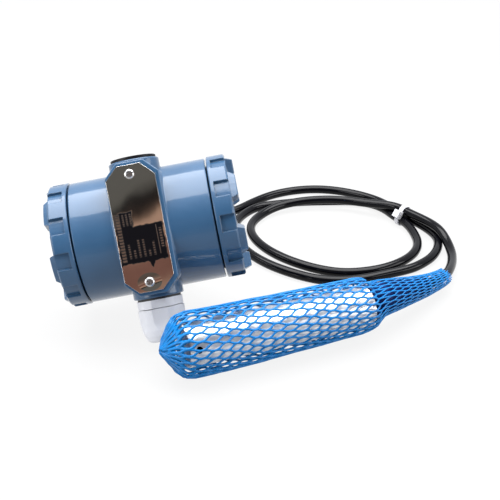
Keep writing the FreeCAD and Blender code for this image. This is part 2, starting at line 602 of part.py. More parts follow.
# ---------------------------------------------------------------- rear cable outlet
revolve("neck_oring", REAR, [(0, d.neckring_in), (0, d.neckring_out), (d.neckring_thick, d.neckring_out), (d.neckring_thick, d.neckring_in)])
out = revolve("outlet_neck", REAR, [
    (-d.out_shank_long, d.out_bore), (-d.out_shank_long, d.out_shank - 0.8), (-d.out_shank_long + 0.8, d.out_shank),
    (d.neckring_thick, d.out_shank), (d.neckring_thick, d.out_round - 0.5), (d.neckring_thick + 0.5, d.out_round),
    (d.out_hex_end - 0.5, d.out_round), (d.out_hex_end, d.out_round - 0.5), (d.out_hex_end, d.out_tube),
    (d.out_end - 0.8, d.out_tube), (d.out_end, d.out_tube - 0.8), (d.out_end, d.out_socket), (d.out_end - d.out_socket_deep, d.out_socket),
    (d.out_end - d.out_socket_deep, d.out_bore)])
sk = out.newObject("Sketcher::SketchObject", "outlet_neck_flats")
sk.AttachmentSupport = [(plane(out, "YZ_Plane"), "")]
sk.MapMode = "FlatFace"
sk.AttachmentOffset = FreeCAD.Placement(V(0, 0, n(d.neckring_thick)), FreeCAD.Rotation())
sk.setExpression("AttachmentOffset.Base.z", d.neckring_thick.expr)
add_loop(sk, hexagon(d.out_hex))
g = sk.addGeometry(Part.Circle(V(0, 0, 0), V(0, 0, 1), n(d.out_round) + 5.0), False)
sk.addConstraint(Sketcher.Constraint("Coincident", g, 3, -1, 1))
ci = sk.addConstraint(Sketcher.Constraint("Radius", g, n(d.out_round) + 5.0))
sk.setExpression("Constraints[%d]" % ci, (d.out_round + 5.0).expr)
pocket(out, sk, d.out_hex_end - d.neckring_thick, reverse=True, name="hex_flats")
gland("rear", OUTLET, d.outlet_bore, d.outlet_seal_bore, d.outlet_hole, ("outlet_gasket", "outlet_gland_body", "outlet_seal", "outlet_nut"))

# ---------------------------------------------------------------- terminal room
blk = new_body("terminal_block", HOUSE)
sk = sketch_circles(blk, "YZ_Plane", [(0, 0, d.block_rad)], offset=d.wall_near - d.block_thick, name="disc")
pad(blk, sk, d.block_thick, name="moulding")
sk = sketch_circles(blk, "YZ_Plane", [(d.block_fix_at, 0, d.fix_tap_rad + 0.3), (-d.block_fix_at, 0, d.fix_tap_rad + 0.3)],
                    offset=d.wall_near - d.block_thick, name="fixings")
pocket(blk, sk, d.block_thick, reverse=True, name="fixing_holes")
for i in range(4):
    zc = d.term_pitch * (i - 1.5)
    sk = sketch_poly(blk, "YZ_Plane", [
        (-d.block_wide / 2.0, zc - d.block_slot / 2.0), (d.block_wide / 2.0, zc - d.block_slot / 2.0),
        (d.block_wide / 2.0, zc + d.block_slot / 2.0), (-d.block_wide / 2.0, zc + d.block_slot / 2.0)],
        offset=d.wall_near - d.block_thick, name="way%d" % i)
    pocket(blk, sk, d.block_slot_deep, reverse=True, name="way_cut%d" % i)
sk = sketch_circles(blk, "YZ_Plane", [(0, d.term_pitch * (i - 1.5), d.term_shank + 0.05) for i in range(4)],
                    offset=d.wall_near - d.block_thick + d.block_slot_deep, name="taps")
pocket(blk, sk, d.term_long + 0.2, reverse=True, name="tap_holes")
face_x = n(d.wall_near) - n(d.block_thick)
to_left = FreeCAD.Rotation(V(0, 0, 1), V(-1, 0, 0))
ts = pan_screw(n(d.term_head), n(d.term_head_high), n(d.term_shank), n(d.term_long), 0.8, 0.9, cross=False)
group("terminal_screws", ts, [FreeCAD.Placement(V(face_x + n(d.block_slot_deep), 0, n(d.term_pitch) * (i - 1.5)), to_left) for i in range(4)], HOUSE)
bs = pan_screw(2.7, 1.9, 1.25, n(d.block_thick) + 3.5, 0.8, 1.0)
group("block_fixing_screws", bs, [FreeCAD.Placement(V(face_x, s * n(d.block_fix_at), 0), to_left) for s in (1, -1)], HOUSE)
es = pan_screw(3.6, 2.4, 1.25, 3.6, 1.0, 1.2)
group("earth_screw", es, [FreeCAD.Placement(V(n(d.wall_near), 0, -n(d.earth_at)), to_left)], HOUSE)

# ---------------------------------------------------------------- electronics room
spots = [(n(d.post_at) * math.cos(math.radians(90 + 120 * i)), n(d.post_at) * math.sin(math.radians(90 + 120 * i))) for i in range(3)]
to_right = FreeCAD.Rotation(V(0, 0, 1), V(1, 0, 0))
brd = new_body("circuit_board", HOUSE)
sk = sketch_circles(brd, "YZ_Plane", [(0, 0, d.board_rad)], offset=d.board_at, name="disc")
pad(brd, sk, d.board_thick, name="laminate")
sk = sketch_circles(brd, "YZ_Plane", [(post_r * qcos(90.0 + 120.0 * i), post_r * qsin(90.0 + 120.0 * i), d.fix_tap_rad) for i in range(3)],
                    offset=d.board_at, name="holes")
pocket(brd, sk, d.board_thick, reverse=True, name="hole_cut")
post_len = n(d.board_at) - n(d.wall_far)
post = Part.makeCylinder(n(d.post_rad), post_len).cut(Part.makeCylinder(n(d.fix_tap_rad), post_len))
group("board_standoffs", post, [FreeCAD.Placement(V(n(d.wall_far), y, z), to_right) for y, z in spots], HOUSE)
ps = pan_screw(2.5, 1.8, 1.2, n(d.board_thick) + post_len + 2.5, 0.8, 1.0)
group("board_screws", ps, [FreeCAD.Placement(V(n(d.board_at) + n(d.board_thick), y, z), to_right) for y, z in spots], HOUSE)
case = new_body("module_case", HOUSE)
sk = sketch_circles(case, "YZ_Plane", [(0, 0, d.case_rad)], offset=d.board_at + d.board_thick, name="disc")
pad(case, sk, d.case_end - d.board_at - d.board_thick, name="moulding")
fillet(case, edges_where(case.Shape, lambda e: e.Curve.TypeId == "Part::GeomCircle"), 1.2, "soft_edge")
bush_place = HOUSE.multiply(FreeCAD.Placement(V(0, 0, n(d.bush_at)), FreeCAD.Rotation()))
revolve("wire_bushing", bush_place, [
    (d.wall_far - 4.0, 1.6), (d.wall_far - 4.0, d.bush_rad), (d.wall_far, d.bush_rad), (d.wall_far, d.bush_flange), (d.wall_far + 1.6, d.bush_flange - 0.4), (d.wall_far + 1.6, 1.6)])

# ---------------------------------------------------------------- probe
nose = revolve("nose_cap", PROBE.multiply(FreeCAD.Placement(V(0, 0, 0), FreeCAD.Rotation(V(1, 0, 0), -n(d.port_turn_deg)))), [
    (0, 0), (0, d.probe_rad - d.nose_round), (d.nose_round * 0.3, d.probe_rad - d.nose_round * 0.3), (d.nose_round, d.probe_rad), (d.cap_long, d.probe_rad),
    (d.cap_long, d.cap_skirt), (d.cap_skirt_end, d.cap_skirt), (d.cap_skirt_end, d.cap_room), (d.cap_wall, d.cap_room), (d.cap_wall, 0)])
sk = sketch_circles(nose, "XY_Plane", [(d.port_at, 0, d.port_rad)], name="side_port")
f = pocket(nose, sk, d.probe_rad + 2.0, reverse=True, name="side_port_cut")
polar(nose, f, 4, name="side_ports")
sk = sketch_circles(nose, "YZ_Plane", [(0, 0, d.vent_rad)], offset=d.cap_wall, name="front_port")
pocket(nose, sk, d.cap_wall, name="front_port_cut")
revolve("probe_tube", PROBE, [(d.cap_long, d.tube_in), (d.cap_long, d.probe_rad), (d.tube_end, d.probe_rad), (d.tube_end, d.tube_in)])
revolve("pressure_capsule", PROBE, [
    (d.capsule_from, 0), (d.capsule_from, d.capsule_rad), (d.capsule_to - 4.0, d.capsule_rad), (d.capsule_to - 4.0, d.capsule_lip),
    (d.capsule_to, d.capsule_lip), (d.capsule_to, 0)])
ring = doc.addObject("Part::Torus", "capsule_oring")
ring.Label = "capsule_oring"
ring.setExpression("Radius1", "dims.capsule_rad + 1.15")
ring.setExpression("Radius2", "1.0")
ring.Placement = PROBE.multiply(FreeCAD.Placement(V(n(d.capsule_to) - 5.3, 0, 0), FreeCAD.Rotation(V(0, 1, 0), 90)))
parts.append(("capsule_oring", ring))
revolve("capsule_retainer", PROBE, [
    (d.capsule_to + 0.1, 6.5), (d.capsule_to + 0.1, d.cap_skirt - 0.1), (d.retainer_to, d.cap_skirt - 0.1), (d.retainer_to, 6.5)])
pcb = new_body("probe_board", PROBE)
sk = sketch_poly(pcb, "XY_Plane", [
    (d.pcb_from, -d.pcb_wide / 2.0), (d.pcb_from + d.pcb_long, -d.pcb_wide / 2.0),
    (d.pcb_from + d.pcb_long, d.pcb_wide / 2.0), (d.pcb_from, d.pcb_wide / 2.0)], offset=-d.pcb_thick / 2.0, name="outline")
pad(pcb, sk, d.pcb_thick, name="laminate")
revolve("rear_plug", PROBE, [
    (d.plug_in_from, d.stem_bore), (d.plug_in_from, d.plug_in_rad - 0.6), (d.plug_in_from + 0.6, d.plug_in_rad),
    (d.tube_end - 4.8, d.plug_in_rad), (d.tube_end - 4.8, d.plug_in_rad - 1.6), (d.tube_end - 2.4, d.plug_in_rad - 1.6), (d.tube_end - 2.4, d.plug_in_rad),
    (d.tube_end, d.plug_in_rad), (d.tube_end, d.probe_rad), (d.probe_len - 1.0, d.probe_rad), (d.probe_len, d.probe_rad - 1.0), (d.probe_len, d.stem_rad),
    (d.stem_end, d.stem_rad), (d.stem_end, d.seal_room), (d.stem_end - 6.0, d.seal_room), (d.stem_end - 6.0, d.stem_bore)])
revolve("rear_plug_oring", PROBE, [
    (d.tube_end - 4.6, d.plug_in_rad - 1.55), (d.tube_end - 4.6, d.plug_in_rad), (d.tube_end - 2.6, d.plug_in_rad), (d.tube_end - 2.6, d.plug_in_rad - 1.55)])
revolve("cable_seal", PROBE, [
    (d.stem_end - 5.8, d.boot_hole), (d.stem_end - 5.8, d.seal_room - 0.1), (d.stem_end + 1.4, d.seal_room - 0.1), (d.stem_end + 1.4, d.boot_hole)])
revolve("compression_nut", PROBE, [
    (d.comp_from, d.comp_in), (d.comp_from, d.comp_rad), (d.comp_from + 9.0, d.comp_rad - 0.3), (d.comp_end - 0.8, d.comp_end_rad), (d.comp_end, d.comp_end_rad - 0.8),
    (d.comp_end, d.comp_hole), (d.stem_end + 1.6, d.comp_hole), (d.stem_end + 1.6, d.comp_in)])
revolve("cable_boot", PROBE, [
    (d.boot_from, d.boot_hole), (d.boot_from, d.boot_big - 0.6), (d.boot_from + 0.6, d.boot_big), (d.boot_to - 0.6, d.boot_small), (d.boot_to, d.boot_small - 0.6), (d.boot_to, d.boot_hole)])

# ---------------------------------------------------------------- net sleeve: thin loose skin, closed at the nose, open at the tail
skin = n(d.net_skin)
SECTIONS = [(-13.5, 4.4), (-9.6, 10.2), (-5.2, 16.2), (-1.6, 19.9), (5.0, 21.4), (45.0, 20.7), (95.0, 19.7), (124.0, 19.1), (131.0, 18.4)]
TAIL = [(80.7, 596.8, 19.9, 15.7), (85.7, 599.9, 21.2, 13.5), (99.4, 611.7, 19.2, 11.6), (111.1, 623.0, 16.2, 9.9),
        (127.9, 640.3, 12.6, 7.9), (136.7, 650.3, 10.8, 7.0), (140.9, 656.3, 9.95, 6.8)]
outer, inner = [], []
for k, (x, r) in enumerate(SECTIONS):
    c = on_probe(x)
    outer.append((c, PX, r))
    if k > 0:
        inner.append((c, PX, r - skin))
spots = [V(x, y, z) + SHIFT for x, y, z, r in TAIL]
for k, (c, row) in enumerate(zip(spots, TAIL)):
    before = spots[k - 1] if k else on_probe(131.0)
    after = spots[k + 1] if k + 1 < len(spots) else c + (c - before)
    t = (after - before).normalize()
    outer.append((c, t, row[3]))
    inner.append((c, t, row[3] - skin))
inner.append((c + t * 2.0, t, TAIL[-1][3] - skin))


def loft(rows):
    wires = [Part.Wire([Part.Circle(c, t, r).toShape()]) for c, t, r in rows]
    return Part.makeLoft(wires, True, True)


sleeve = loft(outer).cut(loft(inner))
feature("mesh_sleeve", sleeve.Solids[0] if len(sleeve.Solids) == 1 else sleeve)

# ---------------------------------------------------------------- cable
CR = n(d.cable_rad)


def tube(label, pts, radius):
    """Straight runs joined by tangent arcs as large as the runs allow."""
    pts = [V(*p) + SHIFT for p in pts]
    edges, radii = [], []
    start = pts[0]
    for i in range(1, len(pts) - 1):
        a = pts[i - 1] - pts[i]
        b = pts[i + 1] - pts[i]
        la, lb = a.Length, b.Length
        a = V(a).normalize()
        b = V(b).normalize()
        turn = math.pi - a.getAngle(b)
        cut = 0.45 * min(la, lb)
        rad = cut / math.tan(turn / 2)
        radii.append(round(rad, 1))
        p1 = pts[i] + a * cut
        p2 = pts[i] + b * cut
        bis = (a + b).normalize()
        mid = pts[i] + bis * (rad / math.cos(turn / 2) - rad)
        if (p1 - start).Length > 1e-6:
            edges.append(Part.LineSegment(start, p1).toShape())
        edges.append(Part.Arc(p1, mid, p2).toShape())
        start = p2
    edges.append(Part.LineSegment(start, pts[-1]).toShape())
    path = Part.Wire(edges)
    ring = Part.Wire([Part.Circle(pts[0], pts[1] - pts[0], radius).toShape()])
    solid = path.makePipeShell([ring], True, False)
    ratio = solid.Volume / (math.pi * radius * radius * path.Length)
    print(label, "length", round(path.Length, 1), "radii", radii, "turns volume ratio", round(ratio, 4))
    feature(label, solid)


out_tip = in_house(0, 0, -(n(d.neck_end) + n(d.out_end) + n(d.nut_end))) - SHIFT
back = HZ * -1


def along_out(s):
    p = out_tip + back * s
    return (p.x, p.y, p.z)


LEAD = [along_out(n(d.seal_to) - n(d.nut_end)), along_out(4.0),
        (-67.3, 741.2, 5.6), (-64.9, 750.0, 4.2), (-60.2, 758.3, 3.7), (-52.7, 765.2, 3.62), (-42.8, 771.3, 3.6), (-31.3, 776.2, 3.6),
        (-19.8, 782.2, 3.6), (-8.9, 791.6, 3.6)]
tube("cable_lead", LEAD, CR)

far = on_probe(n(d.boot_to) - 10.0) - SHIFT
nxt = on_probe(n(d.boot_to) + 5.5) - SHIFT
TAILROUTE = [(far.x, far.y, far.z), (nxt.x, nxt.y, nxt.z), (107.6, 613.4, 16.9), (117.6, 626.8, 14.4), (127.6, 640.2, 12.3), (136.7, 650.4, 10.8), (142.6, 658.8, 9.6),
             (147.8, 671.5, 7.9), (152.6, 688.0, 5.6), (155.4, 704.5, 4.6), (154.4, 719.5, 7.0), (150.9, 733.0, 10.6), (145.4, 745.0, 11.2),
             (139.3, 753.8, 11.45), (132.1, 762.9, 11.6), (126.0, 772.0, 11.7)]
tube("cable_tail", TAILROUTE, CR)

# the two loose turns: outer shape of the coil between the route of the outer turn and that of the inner one
TURN_OUT = [(-9, 797.5), (3, 812), (17.5, 826.5), (35, 836.5), (54, 841), (73, 839), (92, 830.5), (108, 817.5), (119, 801), (126.5, 785),
            (135, 768), (144, 749), (149, 730), (146.5, 711), (136.5, 695.5), (121, 684.5), (102, 676), (85, 668.5), (68, 664.5), (50, 667),
            (32, 677), (14, 691.5), (-1, 711), (-11, 735), (-13.5, 760), (-12.5, 780)]
TURN_IN = [(120.5, 780), (127, 765), (134.5, 748), (136.5, 731), (131.5, 713), (119.5, 697), (103, 686), (86, 679.5), (68, 677.5), (48, 685),
           (28, 700), (12, 719), (1.5, 742), (0, 764), (8, 786), (24, 803.5), (44, 813), (66, 816), (84, 812), (98, 802.5), (110, 791)]
rs = n(d.route_scale)
mid = V(n(d.coil_right), n(d.coil_away), 0)


def outline(route, grow):
    pts = []
    for x, y in route:
        p = V(x * rs, y * rs, 0)
        pts.append(p + (p - mid).normalize() * grow + SHIFT)
    c = Part.BSplineCurve()
    c.interpolate(pts, PeriodicFlag=True)
    return Part.Wire([c.toShape()])


band_face = Part.Face(outline(TURN_OUT, n(d.coil_margin))).cut(Part.Face(outline(TURN_IN, -n(d.coil_margin))))
feature("cable_coil", band_face.extrude(V(0, 0, n(d.coil_high))).Solids[0])

# tie: closed band round the three strands, with its head on top
TIE_AT = V(127.1, 769.2, 0) + SHIFT
tie_dir = V(0.52, -0.85, 0).normalize()
tie_side = V(-tie_dir.y, tie_dir.x, 0)
tw, tt = n(d.tie_wide), n(d.tie_thick)


def tie_plate(half_w, low, high, length):
    pts = [TIE_AT + tie_side * sx * half_w + V(0, 0, z) - tie_dir * (length / 2) for sx, z in ((-1, low), (1, low), (1, high), (-1, high))]
    f = Part.Face(Part.makePolygon(pts + [pts[0]]))
    return f.extrude(tie_dir * length)


band = tie_plate(9.6, 0.0, 15.8, tw).cut(tie_plate(9.6 - tt, tt, 15.8 - tt, tw + 2))
feature("cable_tie", band)

# ---------------------------------------------------------------- checks, then the files
doc.recompute()
bad = [o.Name for o in doc.Objects if "Invalid" in o.State or "Error" in o.State]
if bad:
    raise RuntimeError("failed objects: %s" % bad)
for label, o in parts:
    if o.Shape.isNull() or not o.Shape.isValid() or not o.Shape.Solids:
        raise RuntimeError("bad shape: " + label)
os.makedirs("parts", exist_ok=True)
lo = [1e9] * 3
hi = [-1e9] * 3
CORD = ("cable_lead", "cable_coil", "cable_tail", "cable_tie")
for label, o in parts:
    o.Shape.exportStep("parts/%s.step" % label)
    if label in CORD:
        continue
    bb = o.Shape.optimalBoundingBox()
    lo = [min(lo[0], bb.XMin), min(lo[1], bb.YMin), min(lo[2], bb.ZMin)]
    hi = [max(hi[0], bb.XMax), max(hi[1], bb.YMax), max(hi[2], bb.ZMax)]
print("nodes", len(parts))
print("box without cable", [round(v, 3) for v in lo], [round(v, 3) for v in hi])
print("centre", round((lo[0] + hi[0]) / 2, 3), round((lo[1] + hi[1]) / 2, 3))
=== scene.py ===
import bpy
import bmesh
import json
import math
import random
from mathutils import Matrix, Vector, noise


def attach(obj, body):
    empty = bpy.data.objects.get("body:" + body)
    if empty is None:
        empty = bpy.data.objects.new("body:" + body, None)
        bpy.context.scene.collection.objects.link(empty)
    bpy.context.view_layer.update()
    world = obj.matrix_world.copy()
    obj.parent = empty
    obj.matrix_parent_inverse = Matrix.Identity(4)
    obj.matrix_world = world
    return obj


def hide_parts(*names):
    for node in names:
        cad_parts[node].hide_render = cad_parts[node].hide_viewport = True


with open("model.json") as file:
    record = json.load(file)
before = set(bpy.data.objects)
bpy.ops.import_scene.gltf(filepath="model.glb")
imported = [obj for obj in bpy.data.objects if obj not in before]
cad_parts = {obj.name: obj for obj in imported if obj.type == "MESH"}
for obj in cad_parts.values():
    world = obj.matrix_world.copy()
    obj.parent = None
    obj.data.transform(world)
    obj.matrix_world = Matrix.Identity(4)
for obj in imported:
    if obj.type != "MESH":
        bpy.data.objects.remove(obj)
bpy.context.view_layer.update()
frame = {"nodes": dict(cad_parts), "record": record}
scene = bpy.context.scene
nodes = frame["nodes"]
ROOT = "sensor"
SX, SY = -5.748, -626.660
LEAN, ROLL = math.radians(26.0), math.radians(10.8)
UPV = Vector((0.0, math.sin(LEAN), math.cos(LEAN)))
HX = Vector((1, 0, 0)) * math.cos(ROLL) + UPV * math.sin(ROLL)
HY = Vector((-1, 0, 0)) * math.sin(ROLL) + UPV * math.cos(ROLL)
HZ = Vector((0.0, -math.cos(LEAN), math.sin(LEAN)))
HO = Vector((-67.87 + SX, 616.91 + SY, 64.69)) * 0.001

# ------------------------------------------------------------------ camera
cam_data = bpy.data.cameras.new("camera")
cam_data.sensor_width = 36.0
cam_data.lens = 73.44
cam_data.clip_start = 0.01
cam = bpy.data.objects.new("camera", cam_data)
cam.location = (SX * 0.001, SY * 0.001, 0.35104)
cam.rotation_euler = (math.radians(64.0), 0.0, 0.0)
scene.collection.objects.link(cam)
scene.camera = cam


# ------------------------------------------------------------------ materials
def material(name):
    m = bpy.data.materials.new(name)
    m.use_nodes = True
    nt = m.node_tree
    b = nt.nodes["Principled BSDF"]
    return m, nt, b


def link(nt, a, b):
    nt.links.new(a, b)


def add(nt, kind, **props):
    nd = nt.nodes.new(kind)
    for k, v in props.items():
        setattr(nd, k, v)
    return nd


def coords(nt, scale=(1, 1, 1)):
    tc = add(nt, "ShaderNodeTexCoord")
    mp = add(nt, "ShaderNodeMapping")
    mp.inputs["Scale"].default_value = scale
    link(nt, tc.outputs["Object"], mp.inputs["Vector"])
    return mp.outputs["Vector"]


def noise_tex(nt, vec, scale, detail=3.0, rough=0.55):
    nz = add(nt, "ShaderNodeTexNoise")
    nz.inputs["Scale"].default_value = scale
    nz.inputs["Detail"].default_value = detail
    nz.inputs["Roughness"].default_value = rough
    link(nt, vec, nz.inputs["Vector"])
    return nz.outputs["Fac"]


def ramp(nt, fac, stops):
    r = add(nt, "ShaderNodeValToRGB")
    els = r.color_ramp.elements
    while len(els) < len(stops):
        els.new(0.5)
    for e, (p, c) in zip(els, stops):
        e.position = p
        e.color = (*c, 1.0)
    link(nt, fac, r.inputs["Fac"])
    return r.outputs["Color"]


def to_range(nt, fac, lo, hi):
    mr = add(nt, "ShaderNodeMapRange")
    mr.inputs["To Min"].default_value = lo
    mr.inputs["To Max"].default_value = hi
    link(nt, fac, mr.inputs["Value"])
    return mr.outputs["Result"]


def bump(nt, b, height, strength, distance):
    bp = add(nt, "ShaderNodeBump")
    bp.inputs["Strength"].default_value = strength
    bp.inputs["Distance"].default_value = distance
    link(nt, height, bp.inputs["Height"])
    link(nt, bp.outputs["Normal"], b.inputs["Normal"])
    return bp


def math_node(nt, op, a, b=None, clamp=False):
    m = add(nt, "ShaderNodeMath", operation=op, use_clamp=clamp)
    for i, v in enumerate((a, b)):
        if v is None:
            continue
        if isinstance(v, (int, float)):
            m.inputs[i].default_value = v
        else:
            link(nt, v, m.inputs[i])
    return m.outputs["Value"]


def mix(nt, fac, a, b):
    m = add(nt, "ShaderNodeMix", data_type="RGBA")
    link(nt, fac, m.inputs["Factor"])
    for key, v in (("A", a), ("B", b)):
        sock = [i for i in m.inputs if i.name == key and i.type == "RGBA"][0]
        if isinstance(v, tuple):
            sock.default_value = (*v, 1.0)
        else:
            link(nt, v, sock)
    return [o for o in m.outputs if o.type == "RGBA"][0]


def edge_soft(nt, radius, samples=6):
    bv = add(nt, "ShaderNodeBevel")
    bv.samples = samples
    bv.inputs["Radius"].default_value = radius
    return bv.outputs["Normal"]


def along(nt, axis, origin):
    """Distance in metres along an axis of the housing."""
    tc = add(nt, "ShaderNodeTexCoord")
    off = add(nt, "ShaderNodeVectorMath", operation="SUBTRACT")
    link(nt, tc.outputs["Object"], off.inputs[0])
    off.inputs[1].default_value = tuple(origin)
    dot = add(nt, "ShaderNodeVectorMath", operation="DOT_PRODUCT")
    link(nt, off.outputs["Vector"], dot.inputs[0])
    dot.inputs[1].default_value = tuple(axis)
    return dot.outputs["Value"]


def window(nt, val, lo, hi, soft):
    """1 between lo and hi, fading over soft."""
    up = add(nt, "ShaderNodeMapRange")
    up.inputs["From Min"].default_value = lo - soft
    up.inputs["From Max"].default_value = lo + soft
    link(nt, val, up.inputs["Value"])
    dn = add(nt, "ShaderNodeMapRange")
    dn.inputs["From Min"].default_value = hi - soft
    dn.inputs["From Max"].default_value = hi + soft
    dn.inputs["To Min"].default_value = 1.0
    dn.inputs["To Max"].default_value = 0.0
    link(nt, val, dn.inputs["Value"])
    return math_node(nt, "MULTIPLY", up.outputs["Result"], dn.outputs["Result"])


def blue_paint():
    m, nt, b = material("blue_enamel")
    v = coords(nt)
    tone = noise_tex(nt, v, 38.0, 4.0)
    col = ramp(nt, tone, [(0.3, (0.0190, 0.0580, 0.120)), (0.7, (0.0230, 0.0660, 0.134))])
    link(nt, col, b.inputs["Base Color"])
    b.inputs["Roughness"].default_value = 0.36
    b.inputs["Specular IOR Level"].default_value = 0.20
    b.inputs["Coat Weight"].default_value = 1.0
    b.inputs["Coat IOR"].default_value = 1.31
    b.inputs["Coat Roughness"].default_value = 0.07
    peel = noise_tex(nt, v, 420.0, 2.0)
    sag = noise_tex(nt, v, 95.0, 1.0)
    both = math_node(nt, "ADD", math_node(nt, "MULTIPLY", peel, 0.12), sag)
    soft = edge_soft(nt, 0.0008)
    bp = bump(nt, b, both, 0.15, 0.0010)
    link(nt, soft, bp.inputs["Normal"])
    link(nt, bp.outputs["Normal"], b.inputs["Coat Normal"])
    return m


def plate_steel():
    m, nt, b = material("polished_plate")
    v = coords(nt)
    lx = along(nt, HX, HO)
    ly = along(nt, HY, HO)
    b.inputs["Metallic"].default_value = 1.0
    # dark etched field with rough edges and rows of short plain bars
    rag = math_node(nt, "MULTIPLY", math_node(nt, "SUBTRACT", noise_tex(nt, v, 330.0, 3.0), 0.5), 0.0030)
    rx = math_node(nt, "ADD", lx, rag)
    ry = math_node(nt, "ADD", ly, rag)

    def patch(x0, x1, y0, y1, soft=0.0002, x=lx, y=ly):
        return math_node(nt, "MULTIPLY", window(nt, x, x0, x1, soft), window(nt, y, y0, y1, soft))

    def ticks(pitch, lo, hi, off=0.0):
        fr = math_node(nt, "FRACT", math_node(nt, "ADD", math_node(nt, "DIVIDE", ly, pitch), off))
        return window(nt, fr, lo, hi, 0.10)

    def most(*vals):
        out = vals[0]
        for q in vals[1:]:
            out = math_node(nt, "MAXIMUM", out, q)
        return out

    spike = math_node(nt, "SUBTRACT", math_node(nt, "MULTIPLY", math_node(nt, "ADD", ly, 0.0250), 0.55), math_node(nt, "ABSOLUTE", math_node(nt, "SUBTRACT", rx, 0.0030)))
    spike = math_node(nt, "MULTIPLY", window(nt, spike, 0.0, 1.0, 0.0002), window(nt, ly, -0.0252, -0.0185, 0.0002))
    field = most(patch(-0.0160, 0.0134, -0.0206, 0.0026, 0.0003, rx, ry), patch(-0.0130, -0.0045, 0.0015, 0.0122, 0.0005, rx, ry),
                 math_node(nt, "MULTIPLY", patch(-0.0160, -0.0110, 0.0015, 0.0115, 0.0005, rx, ry), 0.8), spike)
    pitch = 0.0031
    row = math_node(nt, "DIVIDE", math_node(nt, "ADD", lx, 0.0112), pitch)
    cell = math_node(nt, "FLOOR", row)
    part = math_node(nt, "FRACT", row)
    wn = add(nt, "ShaderNodeTexWhiteNoise", noise_dimensions="1D")
    link(nt, cell, wn.inputs["W"])
    top = math_node(nt, "ADD", math_node(nt, "MULTIPLY", wn.outputs["Value"], 0.0085), -0.0132)
    rows = math_node(nt, "MULTIPLY", window(nt, part, 0.30, 0.66, 0.10), math_node(nt, "LESS_THAN", ly, top))
    rows = math_node(nt, "MULTIPLY", rows, patch(-0.0110, 0.0074, -0.0172, 0.0000))
    rows = math_node(nt, "MULTIPLY", rows, ticks(0.00150, 0.22, 0.78))
    small = math_node(nt, "FRACT", math_node(nt, "DIVIDE", lx, 0.0023))
    small = math_node(nt, "MULTIPLY", window(nt, small, 0.25, 0.70, 0.10), patch(-0.0118, -0.0050, 0.0036, 0.0108))
    small = math_node(nt, "MULTIPLY", small, ticks(0.0014, 0.15, 0.80))
    side = math_node(nt, "MULTIPLY", patch(-0.0150, -0.0124, -0.0192, 0.0102), ticks(0.00190, 0.14, 0.80))
    edge = math_node(nt, "MULTIPLY", patch(0.0106, 0.0122, -0.0130, -0.0010), ticks(0.0017, 0.2, 0.75))
    blank = most(rows, small, side, edge, patch(0.0090, 0.0094, -0.0170, 0.0014))
    dark = math_node(nt, "SUBTRACT", field, math_node(nt, "MULTIPLY", blank, 0.62), True)
    smear = noise_tex(nt, v, 70.0, 3.0)
    base = ramp(nt, smear, [(0.25, (0.74, 0.71, 0.68)), (0.75, (0.82, 0.79, 0.76))])
    link(nt, mix(nt, dark, base, (0.020, 0.020, 0.026)), b.inputs["Base Color"])
    rough = to_range(nt, smear, 0.025, 0.050)
    rr = math_node(nt, "ADD", rough, math_node(nt, "MULTIPLY", dark, 0.28))
    link(nt, rr, b.inputs["Roughness"])
    # the sheet is drawn down a little round the lower screw
    wave = math_node(nt, "MULTIPLY", noise_tex(nt, v, 34.0, 1.0), 0.09)
    ex = math_node(nt, "DIVIDE", math_node(nt, "ADD", lx, 0.0010), 0.0078)
    ey = math_node(nt, "DIVIDE", math_node(nt, "ADD", ly, 0.0334), 0.0058)
    rr2 = math_node(nt, "ADD", math_node(nt, "MULTIPLY", ex, ex), math_node(nt, "MULTIPLY", ey, ey))
    dish = math_node(nt, "MULTIPLY", math_node(nt, "MINIMUM", rr2, 1.0), 0.30)
    bp = bump(nt, b, math_node(nt, "ADD", wave, dish), 1.0, 0.0010)
    link(nt, edge_soft(nt, 0.0002), bp.inputs["Normal"])
    return m


def metal(name, color, rough, lines=None, even=0.25):
    m, nt, b = material(name)
    b.inputs["Base Color"].default_value = (*color, 1)
    b.inputs["Metallic"].default_value = 1.0
    b.inputs["Roughness"].default_value = rough
    v = coords(nt, lines or (1, 1, 1))
    g = noise_tex(nt, v, 900.0 if lines else 300.0, 3.0)
    link(nt, to_range(nt, g, rough * (1.0 - even), rough * (1.0 + even)), b.inputs["Roughness"])
    return m


def nose_steel():
    """The probe's steel, with painted shade making the bores of the side ports dark below the outer skin."""
    m = metal("nose_steel", (0.78, 0.775, 0.77), 0.30, None, 0.06)
    nt = m.node_tree
    b = nt.nodes["Principled BSDF"]
    tip = Vector((-41.9 + SX, 539.25 + SY, 21.8)) * 0.001
    ax = (Vector((84.6 + SX, 598.0 + SY, 18.95)) * 0.001 - tip).normalized()
    u = ax.cross(Vector((0, 0, 1))).normalized()
    w = u.cross(ax)
    pu, pw = along(nt, u, tip), along(nt, w, tip)
    r2 = math_node(nt, "ADD", math_node(nt, "MULTIPLY", pu, pu), math_node(nt, "MULTIPLY", pw, pw))
    r = math_node(nt, "SQRT", r2, 0.0)
    # painted shade: the steel's colour goes nearly black inside the side-port bores
    port_bore_painted_shade = math_node(nt, "MULTIPLY", window(nt, r, -1.0, 0.01365, 0.00015), window(nt, along(nt, ax, tip), 0.0022, 1.0, 0.0003))
    link(nt, mix(nt, port_bore_painted_shade, (0.78, 0.775, 0.77), (0.010, 0.010, 0.012)), b.inputs["Base Color"])
    return m


